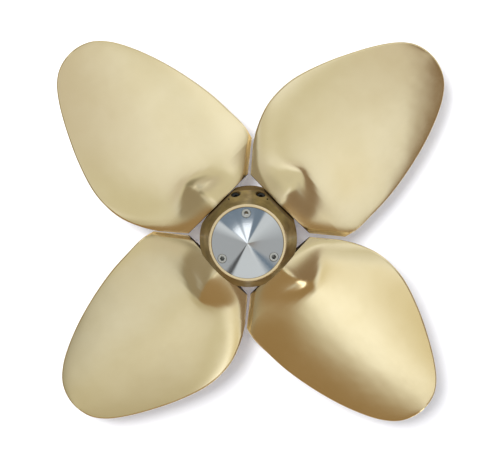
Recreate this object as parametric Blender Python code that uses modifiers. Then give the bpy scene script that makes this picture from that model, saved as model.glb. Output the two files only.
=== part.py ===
"""Feathering boat propeller with four blades, standing on the forward end of its hub.

+Z is the shaft axis and points aft, towards the anode. Each blade turns on a
spindle that points straight out of the hub, at 45 degrees to X and Y.
"""
import math

import bmesh
import bpy
from mathutils import Matrix, Vector

MM = 0.001
GAP = 0.3 * MM

# Propeller
BLADE_COUNT = 4
FIRST_BLADE_ANGLE = math.radians(45)
REST_PITCH = math.radians(5)
TIP_RADIUS = 280 * MM
SPINDLE_HEIGHT = 60 * MM

# Hub; heights are measured from the plane of the spindles
BARREL_RADIUS = 52.4 * MM
FLAT_DISTANCE = 47 * MM
FLAT_WIDTH = 60 * MM
SHOULDER_HEIGHT = 40 * MM
CAP_JOINT_HEIGHT = 24 * MM
AFT_FACE_HEIGHT = 75 * MM
AFT_FACE_RADIUS = 40.2 * MM
FORWARD_SHOULDER = -38 * MM
FORWARD_FACE = -58 * MM
FORWARD_FACE_RADIUS = 44 * MM
CAVITY_RADIUS = 27 * MM
CAVITY_TOP = 48 * MM
HUB_SIDES = 48

# Boss on the shaft's taper, and the nut behind it
BOSS_RADIUS = CAVITY_RADIUS - GAP
BOSS_TOP = 22 * MM
BOSS_FLANGE_RADIUS = 33 * MM
BOSS_FLANGE_TOP = -50 * MM
BOSS_SIDES = 36
TAPER_RADIUS = 18 * MM
TAPER_RATE = 0.05
KEYWAY_WIDTH = 10 * MM
KEYWAY_DEPTH = 4 * MM
NUT_ACROSS_FLATS = 38 * MM
NUT_HEIGHT = 20 * MM
NUT_BORE_RADIUS = 12 * MM

# Blade outline: half-widths at radii from the shaft axis, in millimetres
ROOT_RADIUS = 48.5 * MM
CORNER_RADIUS = 73.8 * MM
LEADING_ROOT = 46.8 * MM
TRAILING_ROOT = 46.3 * MM
LEADING_OFFSETS = (
    (73.8, 78.2), (89, 81.8), (111, 81.8), (139, 80.5), (172, 75.2),
    (206, 66.4), (236, 54.9), (258, 42.6), (272.7, 27.7), (280, 2),
)
TRAILING_OFFSETS = (
    (73.8, 68), (89, 77.5), (111, 86.7), (132, 89.6), (156, 87.6), (189, 76.9),
    (222.6, 61.2), (247, 47.2), (267, 31.3), (276, 18), (280, -2),
)

# Half the blade's thickness at radii from the shaft axis, in millimetres
HALF_THICKNESS = (
    (48.5, 8), (73.8, 7.2), (110, 5.6), (160, 4.2), (210, 3), (250, 2.1), (280, 1.4),
)
EDGE_HALF_THICKNESS = 1.1 * MM
FACET_SLOPE = 0.7
FACET_ROUND = 1.6 * MM

# Hood over the root, with a crest that drifts towards the trailing edge
CREST_HEIGHT = 22 * MM
CREST_LENGTH = 38 * MM
CREST_DROP = 15 * MM
CREST_OFFSET = 3.5 * MM
CREST_DRIFT = 7 * MM
CREST_ROUND = 5 * MM
FLANK_SLOPE = 0.42
HOOD_FILLET = 4 * MM

# Sections that the blade is lofted through
ROOT_STATIONS = 4
BLADE_STATIONS = 12
HALF_CHORD_POINTS = 7
TIP_SHARE = 0.05

# Spindle, held by a collar in the hub
JOURNAL_RADIUS = 15 * MM
COLLAR_RADIUS = 19 * MM
COLLAR_INNER = 30 * MM
COLLAR_OUTER = 36 * MM
SPINDLE_CLEARANCE = 0.4 * MM
SPINDLE_OVERLAP = 4 * MM
SPINDLE_SIDES = 24

# Anode and its screws
ANODE_RADIUS = 37.1 * MM
ANODE_RECESS = 3 * MM
ANODE_EDGE_HEIGHT = 75.2 * MM
ANODE_APEX_HEIGHT = 80 * MM
ANODE_CHAMFER = 0.5 * MM
ANODE_SCREW_CIRCLE = 31 * MM
ANODE_SCREW_ANGLES = (92.5, 212, 332)
ANODE_SCREW_RADIUS = 2.5 * MM
ANODE_SCREW_LENGTH = 16 * MM
ANODE_HEAD_RADIUS = 4.6 * MM
ANODE_HEAD_DEPTH = 2.6 * MM
ANODE_HEAD_SINK = 0.5 * MM
ANODE_SOCKET_RADIUS = 2 * MM

# Two screws hold the cap at one rounded corner of the hub, the one on +Y
CORNERS = (0, 1, 2, 3)
CAP_SCREW_CORNER = 1
CAP_SCREW_OFFSET = 13.2 * MM
CAP_SCREW_TILT = math.radians(25)
CAP_SCREW_DISTANCE = 42.3 * MM
CAP_SCREW_SEAT = 32 * MM
CAP_SCREW_LENGTH = 16 * MM
M6_SHANK_RADIUS = 3 * MM
M6_HEAD_RADIUS = 5 * MM
M6_HEAD_HEIGHT = 6 * MM
M6_POCKET_RADIUS = 5.4 * MM
M6_SOCKET_RADIUS = 2.9 * MM

# Bolts through the halves of the hub and into the cap, but short of the cap's own screws
HUB_BOLT_OFFSET = 9 * MM
HUB_BOLT_DISTANCE = 41.5 * MM
HUB_BOLT_SEAT = -44 * MM
LONG_BOLT_LENGTH = 80 * MM
SHORT_BOLT_LENGTH = 60 * MM
M5_SHANK_RADIUS = 2.5 * MM
M5_HEAD_RADIUS = 4.25 * MM
M5_HEAD_HEIGHT = 5 * MM
M5_POCKET_RADIUS = 4.6 * MM
M5_SOCKET_RADIUS = 2.3 * MM
HUB_BOLTS = (("long_bolt", (0, 2, 3), LONG_BOLT_LENGTH), ("short_bolt", (CAP_SCREW_CORNER,), SHORT_BOLT_LENGTH))
SOCKET_DEPTH = 2.4 * MM
SCREW_SIDES = 12

# Small pins beside the cap's screws
PIN_OFFSET = 20.4 * MM
PIN_DISTANCE = 43.8 * MM
PIN_RADIUS = 0.7 * MM
PIN_LENGTH = 9 * MM
PIN_SINK = 0.5 * MM
PIN_SIDES = 8

HEX_SIDES = 6
SHARP_ANGLE = math.radians(25)
WELD_DISTANCE = 0.01 * MM
OVERSHOOT = 2 * MM

HUB_FRAME = Matrix.Translation((0, 0, SPINDLE_HEIGHT))


def clear_scene():
    """Remove what the file opened with."""
    for item in list(bpy.data.objects):
        bpy.data.objects.remove(item, do_unlink=True)


def new_collection(name):
    """A collection linked to the scene."""
    collection = bpy.data.collections.new(name)
    bpy.context.scene.collection.children.link(collection)
    return collection


def new_material(name, colour, roughness):
    """A plain metal."""
    material = bpy.data.materials.new(name)
    material.use_nodes = True
    shader = material.node_tree.nodes["Principled BSDF"]
    shader.inputs["Base Color"].default_value = (*colour, 1)
    shader.inputs["Metallic"].default_value = 1
    shader.inputs["Roughness"].default_value = roughness
    return material


def add_part(name, mesh, material, place=HUB_FRAME):
    """A named piece of the propeller."""
    item = bpy.data.objects.new(name, mesh)
    PARTS.objects.link(item)
    item.matrix_world = place
    mesh.materials.clear()
    mesh.materials.append(material)
    mesh.shade_smooth()
    mesh.set_sharp_from_angle(angle=SHARP_ANGLE)
    return item


def add_cutter(name, mesh, place=HUB_FRAME):
    """A hidden shape that cuts a piece, or is joined to one."""
    item = bpy.data.objects.new(name, mesh)
    CUTTERS.objects.link(item)
    item.matrix_world = place
    item.hide_render = True
    item.display_type = "WIRE"
    return item


def combine(item, other, operation="DIFFERENCE"):
    """A Boolean between two objects."""
    modifier = item.modifiers.new(other.name, "BOOLEAN")
    modifier.operation = operation
    modifier.solver = "EXACT"
    modifier.object = other


def finished_mesh(item):
    """The mesh that an object's modifiers make. The object is removed."""
    bpy.context.view_layer.update()
    seen = item.evaluated_get(bpy.context.evaluated_depsgraph_get())
    mesh = bpy.data.meshes.new_from_object(seen)
    bpy.data.objects.remove(item, do_unlink=True)
    return mesh


def turned_mesh(name, profile, sides, closed=False):
    """A turned shape from (radius, height) points, which run down its outer side.

    The profile starts and ends on the axis, or goes once round the section of a ring.
    """
    mesh = bpy.data.meshes.new(name)
    edges = [(here, here + 1) for here in range(len(profile) - 1)]
    if closed:
        edges.append((len(profile) - 1, 0))
    mesh.from_pydata([(radius, 0, height) for radius, height in profile], edges, [])
    item = add_cutter(name, mesh)
    turn = item.modifiers.new("turn", "SCREW")
    turn.steps = sides
    turn.render_steps = sides
    turn.use_merge_vertices = True
    turn.merge_threshold = WELD_DISTANCE
    return finished_mesh(item)


def cylinders_mesh(name, places, radius, low, high, sides):
    """Capped cylinders, one about the Z axis of each place."""
    shape = bmesh.new()
    middle = Matrix.Translation((0, 0, (low + high) / 2))
    for place in places:
        bmesh.ops.create_cone(
            shape, cap_ends=True, segments=sides, radius1=radius, radius2=radius,
            depth=high - low, matrix=place @ middle,
        )
    mesh = bpy.data.meshes.new(name)
    shape.to_mesh(mesh)
    shape.free()
    return mesh


def boxes_mesh(name, places, size):
    """Boxes of one size, one centred on each place."""
    shape = bmesh.new()
    for place in places:
        bmesh.ops.create_cube(shape, size=1, matrix=place @ Matrix.Diagonal((*size, 1)))
    mesh = bpy.data.meshes.new(name)
    shape.to_mesh(mesh)
    shape.free()
    return mesh


def spindle_turn(number):
    """Turn about the shaft that brings X onto a blade's spindle."""
    return Matrix.Rotation(FIRST_BLADE_ANGLE + 2 * math.pi * number / BLADE_COUNT, 4, "Z")


def corner_places(corners, offset, distance, height, tilt=0):
    """Places on both sides of the hub's rounded corners, of which 0 is on +X and 1 on +Y.

    A tilt leans their Z axes out from the shaft.
    """
    places = []
    for corner in corners:
        turn = Matrix.Rotation(2 * math.pi * corner / len(CORNERS), 4, "Z")
        for side in (-offset, offset):
            spot = Matrix.Translation((distance, side, height))
            places.append(turn @ spot @ Matrix.Rotation(tilt, 4, "Y"))
    return places


def through(points, where):
    """A smooth curve through (position, value) points, read at one position."""
    last = len(points) - 1
    slopes = []
    for here in range(last + 1):
        before = points[max(here - 1, 0)]
        after = points[min(here + 1, last)]
        slopes.append((after[1] - before[1]) / (after[0] - before[0]))
    spot = 0
    while spot < last - 1 and where > points[spot + 1][0]:
        spot += 1
    (x0, y0), (x1, y1) = points[spot], points[spot + 1]
    span = x1 - x0
    t = (where - x0) / span
    value = y0 * (1 + 2 * t) * (1 - t) ** 2 + y1 * t * t * (3 - 2 * t)
    return value + span * t * (1 - t) * (slopes[spot] * (1 - t) - slopes[spot + 1] * t)


def tip_share(radius):
    """Square root of the way left to the tip: 1 at the corner, 0 at the tip, so that the tip is round."""
    return math.sqrt(max(TIP_RADIUS - radius, 0) / (TIP_RADIUS - CORNER_RADIUS))


def half_width(radius, offsets, root_width):
    """Distance from the spindle's axis to one edge of the blade."""
    if radius < CORNER_RADIUS:
        share = (radius - ROOT_RADIUS) / (CORNER_RADIUS - ROOT_RADIUS)
        return root_width + share * (offsets[0][1] * MM - root_width)
    points = [(tip_share(place * MM), width * MM) for place, width in reversed(offsets)]
    return through(points, tip_share(radius))


def facet_height(radius, side, offsets, root_width):
    """Height of the sloping facet beside the gap to the next blade."""
    run = Vector((CORNER_RADIUS - ROOT_RADIUS, offsets[0][1] * MM - root_width)).normalized()
    inward = (radius - ROOT_RADIUS) * run.y - (side - root_width) * run.x
    return EDGE_HALF_THICKNESS + FACET_SLOPE * max(inward, 0)


def half_thickness(radius, side, leading, trailing):
    """Half the blade's thickness at a radius and a distance towards the leading edge."""
    share = side / (leading if side > 0 else trailing)
    middle = through(HALF_THICKNESS, radius / MM) * MM
    foil = EDGE_HALF_THICKNESS + (middle - EDGE_HALF_THICKNESS) * max(1 - share * share, 0) ** 0.8
    out = (radius - ROOT_RADIUS) / CREST_LENGTH
    aside = math.hypot(side + CREST_OFFSET + CREST_DRIFT * out**3, CREST_ROUND)
    hood = CREST_HEIGHT - CREST_DROP * out**3 - FLANK_SLOPE * aside
    full = (foil + hood + math.hypot(foil - hood, HOOD_FILLET)) / 2
    facet = min(
        facet_height(radius, side, LEADING_OFFSETS, LEADING_ROOT),
        facet_height(radius, -side, TRAILING_OFFSETS, TRAILING_ROOT),
    )
    blend = (full + facet - math.hypot(full - facet, FACET_ROUND)) / 2
    return max(blend, EDGE_HALF_THICKNESS)


def section_radii():
    """Radii of the blade's sections, closer together towards the tip."""
    radii = []
    for step in range(ROOT_STATIONS):
        share = step / ROOT_STATIONS
        radii.append(ROOT_RADIUS + share * (CORNER_RADIUS - ROOT_RADIUS))
    for step in range(BLADE_STATIONS + 1):
        share = 1 + (TIP_SHARE - 1) * step / BLADE_STATIONS
        radii.append(TIP_RADIUS - (TIP_RADIUS - CORNER_RADIUS) * share * share)
    return radii


def foil_section(shape, radius):
    """Vertices once round the blade at a radius, with the leading edge on -Y and the aft face on +Z."""
    leading = half_width(radius, LEADING_OFFSETS, LEADING_ROOT)
    trailing = half_width(radius, TRAILING_OFFSETS, TRAILING_ROOT)
    aft = []
    forward = []
    for step in range(-HALF_CHORD_POINTS, HALF_CHORD_POINTS + 1):
        even = step / HALF_CHORD_POINTS
        share = (even + math.sin(even * math.pi / 2)) / 2
        side = share * (leading if share > 0 else trailing)
        height = half_thickness(radius, side, leading, trailing)
        aft.append(shape.verts.new((radius, -side, height)))
        forward.append(shape.verts.new((radius, -side, -height)))
    return aft + forward[::-1]


def foil_mesh():
    """The blade outside its spindle, lofted through its sections."""
    shape = bmesh.new()
    rings = [foil_section(shape, radius) for radius in section_radii()]
    for inner, outer in zip(rings, rings[1:]):
        for here in range(len(inner)):
            after = (here + 1) % len(inner)
            shape.faces.new((inner[here], inner[after], outer[after], outer[here]))
    shape.faces.new(rings[0])
    shape.faces.new(rings[-1])
    bmesh.ops.recalc_face_normals(shape, faces=shape.faces)
    mesh = bpy.data.meshes.new("foil")
    shape.to_mesh(mesh)
    shape.free()
    return mesh


def spindle_mesh(clearance, end):
    """The spindle about Z, from its collar to its outer end, or the bore for it."""
    journal = JOURNAL_RADIUS + clearance
    collar = COLLAR_RADIUS + clearance
    low = COLLAR_INNER - clearance
    high = COLLAR_OUTER + clearance
    profile = ((0, end), (journal, end), (journal, high), (collar, high), (collar, low), (0, low))
    return turned_mesh("spindle", profile, SPINDLE_SIDES)


def add_blades():
    """Four blades, each in one piece with its spindle, turned to their rest pitch."""
    outward = Matrix.Rotation(math.pi / 2, 4, "Y")
    blank = add_cutter("blank", foil_mesh(), Matrix.Identity(4))
    spindle = add_cutter("spindle", spindle_mesh(0, ROOT_RADIUS + SPINDLE_OVERLAP), outward)
    combine(blank, spindle, "UNION")
    mesh = finished_mesh(blank)
    bpy.data.objects.remove(spindle, do_unlink=True)
    for number in range(BLADE_COUNT):
        pitch = Matrix.Rotation(REST_PITCH, 4, "X")
        add_part(f"blade_{number + 1}", mesh, BRONZE, HUB_FRAME @ spindle_turn(number) @ pitch)


def cut_flats(item):
    """The four flats that the blades sit against."""
    depth = FLAT_WIDTH / 3
    reach = Matrix.Translation((FLAT_DISTANCE + depth / 2, 0, 0))
    places = [spindle_turn(number) @ reach for number in range(BLADE_COUNT)]
    length = 2 * (AFT_FACE_HEIGHT - FORWARD_FACE)
    mesh = boxes_mesh("flats", places, (depth, FLAT_WIDTH, length))
    combine(item, add_cutter(f"{item.name}_flats", mesh))


def cut_spindle_bores(item):
    """Half of each spindle's bore and of its collar's groove."""
    outward = Matrix.Rotation(math.pi / 2, 4, "Y")
    for number in range(BLADE_COUNT):
        place = HUB_FRAME @ spindle_turn(number) @ outward
        mesh = spindle_mesh(SPINDLE_CLEARANCE, BARREL_RADIUS)
        combine(item, add_cutter(f"{item.name}_bore_{number + 1}", mesh, place))


def cut_holes(item, name, places, radius, low, high, sides=SCREW_SIDES):
    """Round holes along the Z axes of the places."""
    mesh = cylinders_mesh(name, places, radius, low, high, sides)
    combine(item, add_cutter(f"{item.name}_{name}", mesh))


def add_hub_halves():
    """The two halves of the hub's barrel, which close round the spindles."""
    aft_profile = (
        (CAVITY_RADIUS, CAP_JOINT_HEIGHT), (BARREL_RADIUS, CAP_JOINT_HEIGHT),
        (BARREL_RADIUS, GAP / 2), (CAVITY_RADIUS, GAP / 2),
    )
    seat = BOSS_FLANGE_TOP + GAP
    flange = BOSS_FLANGE_RADIUS + GAP
    forward_profile = (
        (CAVITY_RADIUS, -GAP / 2), (BARREL_RADIUS, -GAP / 2), (BARREL_RADIUS, FORWARD_SHOULDER),
        (FORWARD_FACE_RADIUS, FORWARD_FACE), (flange, FORWARD_FACE), (flange, seat), (CAVITY_RADIUS, seat),
    )
    aft_mesh = turned_mesh("hub_aft_half", aft_profile, HUB_SIDES, True)
    forward_mesh = turned_mesh("hub_forward_half", forward_profile, HUB_SIDES, True)
    aft = add_part("hub_aft_half", aft_mesh, BRONZE)
    forward = add_part("hub_forward_half", forward_mesh, BRONZE)
    for item in (aft, forward):
        cut_flats(item)
        cut_spindle_bores(item)
    cut_holes(aft, "cap_screws", cap_screw_places(), M6_SHANK_RADIUS + GAP, -CAP_SCREW_LENGTH - GAP, 0)
    for item in (aft, forward):
        cut_bolt_holes(item)
    depth = HUB_BOLT_SEAT - FORWARD_FACE
    places = bolt_places(CORNERS)
    cut_holes(forward, "bolt_pockets", places, M5_POCKET_RADIUS, 0, depth + OVERSHOOT)


def cut_bolt_holes(item):
    """Holes for the long and the short bolts."""
    for name, corners, length in HUB_BOLTS:
        cut_holes(item, name, bolt_places(corners), M5_SHANK_RADIUS + GAP, -length - GAP, OVERSHOOT)


def add_hub_cap():
    """The hub's aft end: a cone up to the bright ring that the anode sits in."""
    seat = AFT_FACE_HEIGHT - ANODE_RECESS
    recess = ANODE_RADIUS + GAP
    low = CAP_JOINT_HEIGHT + GAP
    profile = (
        (0, seat), (recess, seat), (recess, AFT_FACE_HEIGHT), (AFT_FACE_RADIUS, AFT_FACE_HEIGHT),
        (BARREL_RADIUS, SHOULDER_HEIGHT), (BARREL_RADIUS, low), (CAVITY_RADIUS, low),
        (CAVITY_RADIUS, CAVITY_TOP), (0, CAVITY_TOP),
    )
    cap = add_part("hub_cap", turned_mesh("hub_cap", profile, HUB_SIDES), BRONZE)
    cut_flats(cap)
    cut_bolt_holes(cap)
    cut_holes(cap, "cap_screws", cap_screw_places(), M6_SHANK_RADIUS + GAP, -CAP_SCREW_LENGTH, OVERSHOOT)
    cut_holes(cap, "pockets", cap_screw_places(), M6_POCKET_RADIUS, 0, AFT_FACE_HEIGHT - CAP_SCREW_SEAT)
    low, high = pin_span()
    cut_holes(cap, "pin_holes", pin_places(), PIN_RADIUS + GAP, low - GAP, high + OVERSHOOT, PIN_SIDES)
    low = seat - ANODE_SCREW_LENGTH
    cut_holes(cap, "anode_screws", anode_screw_places(), ANODE_SCREW_RADIUS + GAP, low, AFT_FACE_HEIGHT)


def cap_screw_places():
    """Seats of the screws that hold the cap, with Z pointing out of their pockets."""
    corners = (CAP_SCREW_CORNER,)
    return corner_places(corners, CAP_SCREW_OFFSET, CAP_SCREW_DISTANCE, CAP_SCREW_SEAT, CAP_SCREW_TILT)


def bolt_places(corners):
    """Seats of the bolts that clamp the halves, with Z pointing forward, out of their pockets."""
    return corner_places(corners, HUB_BOLT_OFFSET, HUB_BOLT_DISTANCE, HUB_BOLT_SEAT, math.pi)


def socket_screw_mesh(length, shank, head, height, socket):
    """A socket cap screw with its head's seat at Z 0, from its length, radii and head's height."""
    low = GAP
    high = low + height
    profile = ((0, high), (head, high), (head, low), (shank, low), (shank, -length), (0, -length))
    return socketed_mesh(turned_mesh("socket_screw", profile, SCREW_SIDES), high, socket)


def socketed_mesh(mesh, top, radius):
    """A screw with a hexagon socket in its head."""
    place = Matrix.Identity(4)
    item = add_cutter("screw", mesh, place)
    socket = cylinders_mesh("socket", [place], radius, top - SOCKET_DEPTH, top + OVERSHOOT, HEX_SIDES)
    tool = add_cutter("socket", socket, place)
    combine(item, tool)
    result = finished_mesh(item)
    bpy.data.objects.remove(tool, do_unlink=True)
    return result


def add_screws():
    """The cap's two screws, and the bolts that clamp the hub together."""
    mesh = socket_screw_mesh(
        CAP_SCREW_LENGTH, M6_SHANK_RADIUS, M6_HEAD_RADIUS, M6_HEAD_HEIGHT, M6_SOCKET_RADIUS,
    )
    for number, place in enumerate(cap_screw_places()):
        add_part(f"cap_screw_{number + 1}", mesh, STEEL, HUB_FRAME @ place)
    for name, corners, length in HUB_BOLTS:
        mesh = socket_screw_mesh(
            length, M5_SHANK_RADIUS, M5_HEAD_RADIUS, M5_HEAD_HEIGHT, M5_SOCKET_RADIUS,
        )
        for number, place in enumerate(bolt_places(corners)):
            add_part(f"{name}_{number + 1}", mesh, STEEL, HUB_FRAME @ place)


def pin_places():
    """Axes of the small pins."""
    return corner_places((CAP_SCREW_CORNER,), PIN_OFFSET, PIN_DISTANCE, 0)


def pin_span():
    """Lowest and highest point of a pin, which ends just under the cap's cone."""
    slope = (AFT_FACE_HEIGHT - SHOULDER_HEIGHT) / (BARREL_RADIUS - AFT_FACE_RADIUS)
    surface = SHOULDER_HEIGHT + (BARREL_RADIUS - math.hypot(PIN_OFFSET, PIN_DISTANCE)) * slope
    high = surface - PIN_SINK
    return high - PIN_LENGTH, high


def add_pins():
    """Small pins beside the cap screws."""
    mesh = cylinders_mesh("pin", [Matrix.Identity(4)], PIN_RADIUS, *pin_span(), PIN_SIDES)
    for number, place in enumerate(pin_places()):
        add_part(f"lock_pin_{number + 1}", mesh, STEEL, HUB_FRAME @ place)


def add_boss():
    """The boss, with its tapered bore and keyway and the flange that the propeller stands on."""
    bottom = -SPINDLE_HEIGHT
    small_end = TAPER_RADIUS - TAPER_RATE * (BOSS_TOP - bottom)
    profile = (
        (small_end, BOSS_TOP), (BOSS_RADIUS, BOSS_TOP), (BOSS_RADIUS, BOSS_FLANGE_TOP),
        (BOSS_FLANGE_RADIUS, BOSS_FLANGE_TOP), (BOSS_FLANGE_RADIUS, bottom), (TAPER_RADIUS, bottom),
    )
    boss = add_part("shaft_boss", turned_mesh("shaft_boss", profile, BOSS_SIDES, True), BRONZE)
    reach = TAPER_RADIUS + KEYWAY_DEPTH
    place = Matrix.Translation((0, reach / 2, 0))
    slot = boxes_mesh("keyway", [place], (KEYWAY_WIDTH, reach, 4 * SPINDLE_HEIGHT))
    combine(boss, add_cutter("keyway", slot))


def add_nut():
    """The nut that holds the boss on the shaft."""
    low = BOSS_TOP + GAP
    high = low + NUT_HEIGHT
    corner = NUT_ACROSS_FLATS / 2 / math.cos(math.pi / HEX_SIDES)
    here = [Matrix.Identity(4)]
    mesh = cylinders_mesh("shaft_nut", here, corner, low, high, HEX_SIDES)
    nut = add_part("shaft_nut", mesh, STEEL)
    cut_holes(nut, "bore", here, NUT_BORE_RADIUS, low - OVERSHOOT, high + OVERSHOOT, BOSS_SIDES)


def anode_height(radius):
    """Height of the anode's shallow cone at a radius."""
    return ANODE_APEX_HEIGHT - (ANODE_APEX_HEIGHT - ANODE_EDGE_HEIGHT) * radius / ANODE_RADIUS


def anode_screw_places():
    """Axes of the three anode screws."""
    places = []
    for degrees in ANODE_SCREW_ANGLES:
        turn = Matrix.Rotation(math.radians(degrees), 4, "Z")
        places.append(turn @ Matrix.Translation((ANODE_SCREW_CIRCLE, 0, 0)))
    return places


def add_anode():
    """The anode in the cap's recess, with its countersunk screws."""
    base = AFT_FACE_HEIGHT - ANODE_RECESS + GAP
    profile = (
        (0, ANODE_APEX_HEIGHT), (ANODE_RADIUS - ANODE_CHAMFER, ANODE_EDGE_HEIGHT),
        (ANODE_RADIUS, ANODE_EDGE_HEIGHT - ANODE_CHAMFER), (ANODE_RADIUS, base), (0, base),
    )
    anode = add_part("anode", turned_mesh("anode", profile, HUB_SIDES), ZINC)
    top = anode_height(ANODE_SCREW_CIRCLE) - ANODE_HEAD_SINK
    neck = top - ANODE_HEAD_DEPTH
    end = AFT_FACE_HEIGHT - ANODE_RECESS - ANODE_SCREW_LENGTH + GAP
    profile = (
        (0, top), (ANODE_HEAD_RADIUS, top), (ANODE_SCREW_RADIUS, neck), (ANODE_SCREW_RADIUS, end), (0, end),
    )
    screw = socketed_mesh(turned_mesh("anode_screw", profile, SCREW_SIDES), top, ANODE_SOCKET_RADIUS)
    mouth = ANODE_HEAD_RADIUS + 2 * GAP
    above = ANODE_APEX_HEIGHT + OVERSHOOT
    shank = ANODE_SCREW_RADIUS + GAP
    below = base - OVERSHOOT
    profile = (
        (0, above), (mouth, above), (mouth, top), (shank, neck - GAP), (shank, below), (0, below),
    )
    sink = turned_mesh("countersink", profile, SCREW_SIDES)
    for number, place in enumerate(anode_screw_places()):
        combine(anode, add_cutter(f"countersink_{number + 1}", sink, HUB_FRAME @ place))
        add_part(f"anode_screw_{number + 1}", screw, STEEL, HUB_FRAME @ place)


clear_scene()
PARTS = new_collection("feathering_propeller")
CUTTERS = new_collection("cutters")
BRONZE = new_material("bronze", (0.72, 0.56, 0.32), 0.25)
ZINC = new_material("anode_metal", (0.62, 0.64, 0.67), 0.3)
STEEL = new_material("stainless_steel", (0.55, 0.55, 0.54), 0.3)

add_hub_halves()
add_hub_cap()
add_blades()
add_boss()
add_nut()
add_anode()
add_screws()
add_pins()
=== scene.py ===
"""Looks of the feathering propeller: fine surfaces, metals, studio light, floor and camera.

Lengths are in metres, in the frame of the solids: +Z is the shaft axis and points aft, and the
propeller stands on the floor at Z 0. Heights of the hub are measured from the spindles' plane.
"""
import math

import bmesh
import bpy
import numpy as np
from mathutils import Matrix, Vector, noise


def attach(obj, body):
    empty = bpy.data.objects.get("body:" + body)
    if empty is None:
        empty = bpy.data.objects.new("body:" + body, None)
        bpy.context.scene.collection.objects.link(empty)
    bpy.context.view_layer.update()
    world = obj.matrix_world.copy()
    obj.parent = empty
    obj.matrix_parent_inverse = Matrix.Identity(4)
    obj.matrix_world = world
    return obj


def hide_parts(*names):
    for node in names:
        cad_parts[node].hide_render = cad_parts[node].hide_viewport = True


MM = 0.001
GAP = 0.3 * MM

# Camera, from the photograph: pixels are in its 500 by 464 frame
IMAGE_WIDTH = 500
IMAGE_HEIGHT = 464
HUB_PIXEL = (249.1, 234.7)
CAMERA_DISTANCE = 1.12
CAMERA_TILT = (0.022, 0.115)
CAMERA_FOCAL_PIXELS = 1006
SENSOR_WIDTH = 36

# Blades
BLADE_COUNT = 4
FIRST_BLADE_ANGLE = math.radians(45)
REST_PITCH = math.radians(5)
TIP_RADIUS = 280 * MM
SPINDLE_HEIGHT = 60 * MM
ROOT_RADIUS = 48.5 * MM
CORNER_RADIUS = 73.8 * MM
LEADING_ROOT = 46.8 * MM
TRAILING_ROOT = 46.3 * MM
LEADING_OFFSETS = (
    (73.8, 78.2), (89, 81.8), (111, 81.8), (139, 80.5), (172, 75.2),
    (206, 66.4), (236, 54.9), (258, 42.6), (272.7, 27.7), (280, 2),
)
TRAILING_OFFSETS = (
    (73.8, 68), (89, 77.5), (111, 86.7), (132, 89.6), (156, 87.6), (189, 76.9),
    (222.6, 61.2), (247, 47.2), (267, 31.3), (276, 18), (280, -2),
)
HALF_THICKNESS = (
    (48.5, 8), (73.8, 7.2), (110, 5.6), (160, 4.2), (210, 3), (250, 2.1), (280, 1.4),
)
FOIL_POWER = 0.8
EDGE_HALF_THICKNESS = 1.1 * MM
EDGE_FADE = 6 * EDGE_HALF_THICKNESS
FACET_SLOPE = 0.7
FACET_ROUND = 1.6 * MM
CREST_HEIGHT = 22 * MM
CREST_LENGTH = 38 * MM
CREST_DROP = 15 * MM
CREST_OFFSET = 3.5 * MM
CREST_DRIFT = 7 * MM
CREST_ROUND = 5 * MM
FLANK_SLOPE = 0.42
HOOD_FILLET = 4 * MM
ROOT_STATIONS = 26
BLADE_STATIONS = 64
HALF_CHORD_POINTS = 60
TIP_SHARE = 0.008
ROOT_CHAMFER = 0.4 * MM
SPINDLE_RADIUS = 15 * MM
SPINDLE_INNER = 40 * MM
SPINDLE_SIDES = 64
RIPPLE_HEIGHT = 0.03 * MM
RIPPLE_LENGTH = 26 * MM
FINE_RIPPLE_SHARE = 0.35
FINE_RIPPLE_RATE = 2.7
ROOT_FINISH = (66 * MM, 100 * MM)
BLADE_ATTRIBUTE = "blade_place"
DEPTH_ATTRIBUTE = "socket_depth"
SEED_STEP = 0.7

# Hub
BARREL_RADIUS = 52.4 * MM
FLAT_DISTANCE = 47 * MM
FLAT_CUT = (BARREL_RADIUS / 3, 1.2 * BARREL_RADIUS, 8 * BARREL_RADIUS)
SHOULDER_HEIGHT = 40 * MM
CAP_JOINT_HEIGHT = 24 * MM
AFT_FACE_HEIGHT = 75 * MM
AFT_FACE_RADIUS = 40.2 * MM
FORWARD_SHOULDER = -38 * MM
FORWARD_FACE = -58 * MM
FORWARD_FACE_RADIUS = 44 * MM
CAVITY_RADIUS = 27 * MM
CAVITY_TOP = 48 * MM
FLANGE_RADIUS = 33.3 * MM
FLANGE_SEAT = -49.7 * MM
EDGE_ROUND = 0.5 * MM
RING_EDGE = 0.15 * MM
RING_GAP = 0.08 * MM
HUB_SIDES = 144
POCKET_SIDES = 28

# Anode
ANODE_RADIUS = 37.1 * MM
ANODE_RECESS = 3 * MM
ANODE_EDGE_HEIGHT = 75.2 * MM
ANODE_APEX_HEIGHT = 80 * MM
ANODE_SCREW_CIRCLE = 31 * MM
ANODE_SCREW_ANGLES = (92.5, 212, 332)
ANODE_SCREW_RADIUS = 2.5 * MM
ANODE_SCREW_LENGTH = 16 * MM
ANODE_HEAD_RADIUS = 4.6 * MM
ANODE_HEAD_DEPTH = 2.6 * MM
ANODE_HEAD_SINK = 0.5 * MM
ANODE_SOCKET_RADIUS = 2.6 * MM
ANODE_SEAT_DEPTH = 2 * MM
ANODE_SEAT_REACH = 4 * MM
GROOVE_LEAN = (0.617, 0.702)

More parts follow.
